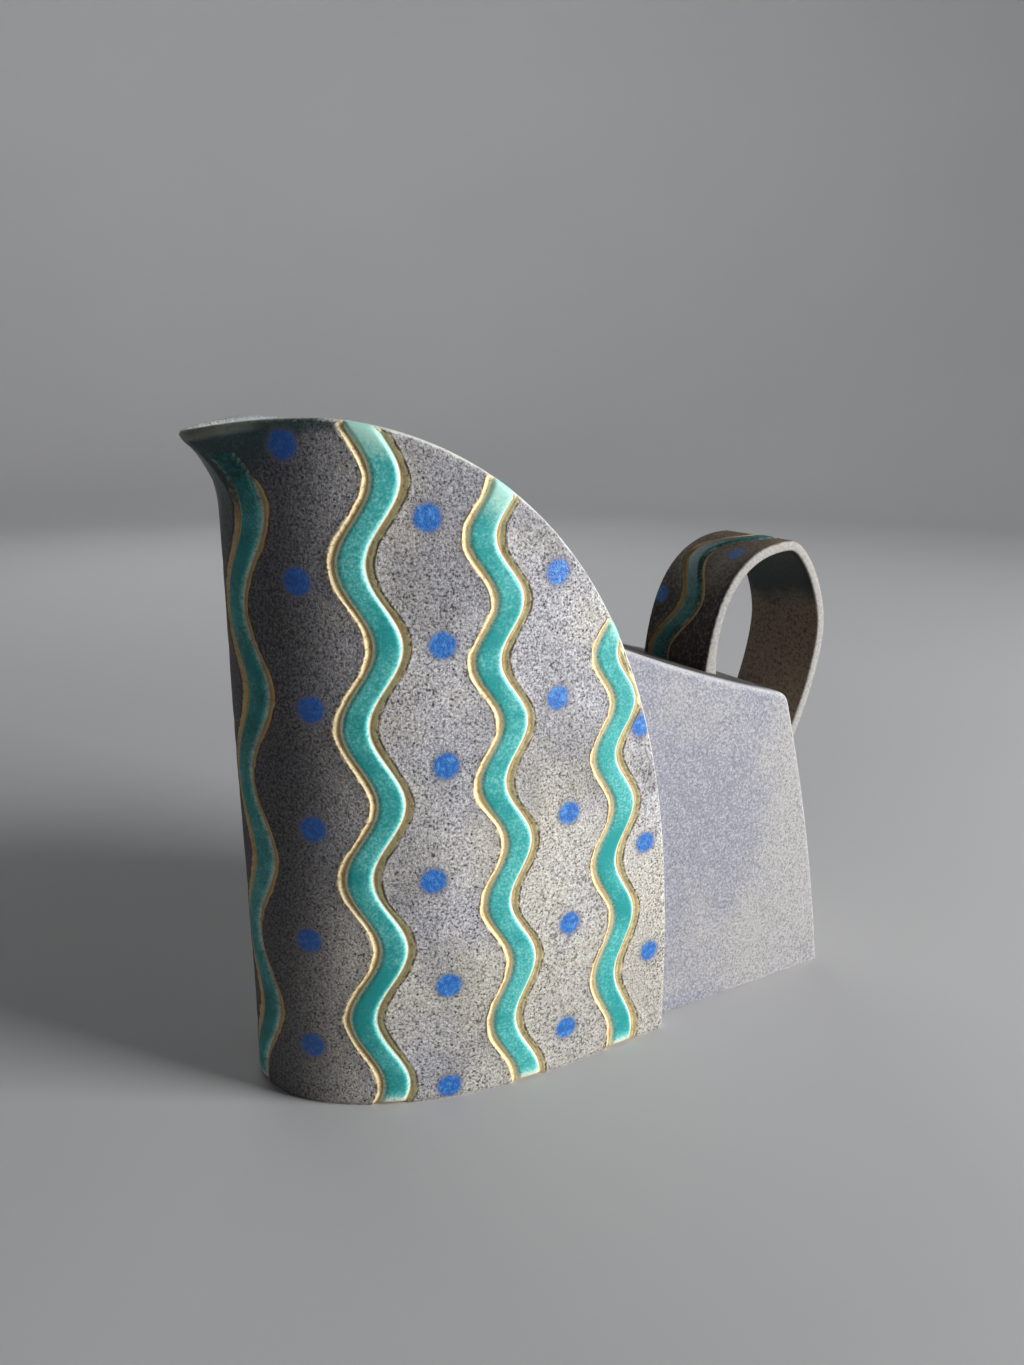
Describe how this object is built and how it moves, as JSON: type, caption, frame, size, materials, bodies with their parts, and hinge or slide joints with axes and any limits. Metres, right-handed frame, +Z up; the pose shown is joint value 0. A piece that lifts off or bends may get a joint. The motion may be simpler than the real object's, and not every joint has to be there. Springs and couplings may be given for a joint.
{
  "type": "ceramic jug",
  "caption": "Slab-built stoneware jug with a pointed lip, a slanting rim, a leaning box at the rear, a strap handle and inlaid wavy glaze stripes.",
  "frame": {"origin": "on the ground, under the middle of the foot's length and width", "axes": "+X from the spout to the handle, +Y to the jug's right side as it pours, +Z up"},
  "size_m": [0.1853, 0.0728, 0.166],
  "materials": {
    "speckled_stoneware": "matte speckled glaze",
    "lavender_stoneware": "satin mottled glaze",
    "dark_stoneware": "satin brown-grey glaze",
    "inside_glaze": "satin glaze",
    "teal_glaze": "glossy glaze"
  },
  "bodies": {
    "root": {"front_wall": "speckled_stoneware", "pouring_lip": "speckled_stoneware", "base_slab": "inside_glaze", "rear_side_left": "lavender_stoneware", "rear_side_right": "lavender_stoneware", "rear_back": "lavender_stoneware", "shoulder_slab": "lavender_stoneware", "handle_strap": "dark_stoneware", "nose_base_coil": "inside_glaze", "left_back_coil": "inside_glaze", "right_back_coil": "inside_glaze", "left_lap_coil": "inside_glaze", "right_lap_coil": "inside_glaze", "nose_stripe": "teal_glaze", "left_stripe_1": "teal_glaze", "left_stripe_2": "teal_glaze", "left_stripe_3": "teal_glaze", "right_stripe_1": "teal_glaze", "right_stripe_2": "teal_glaze", "right_stripe_3": "teal_glaze", "handle_stripe": "teal_glaze"}
  },
  "joints": []
}
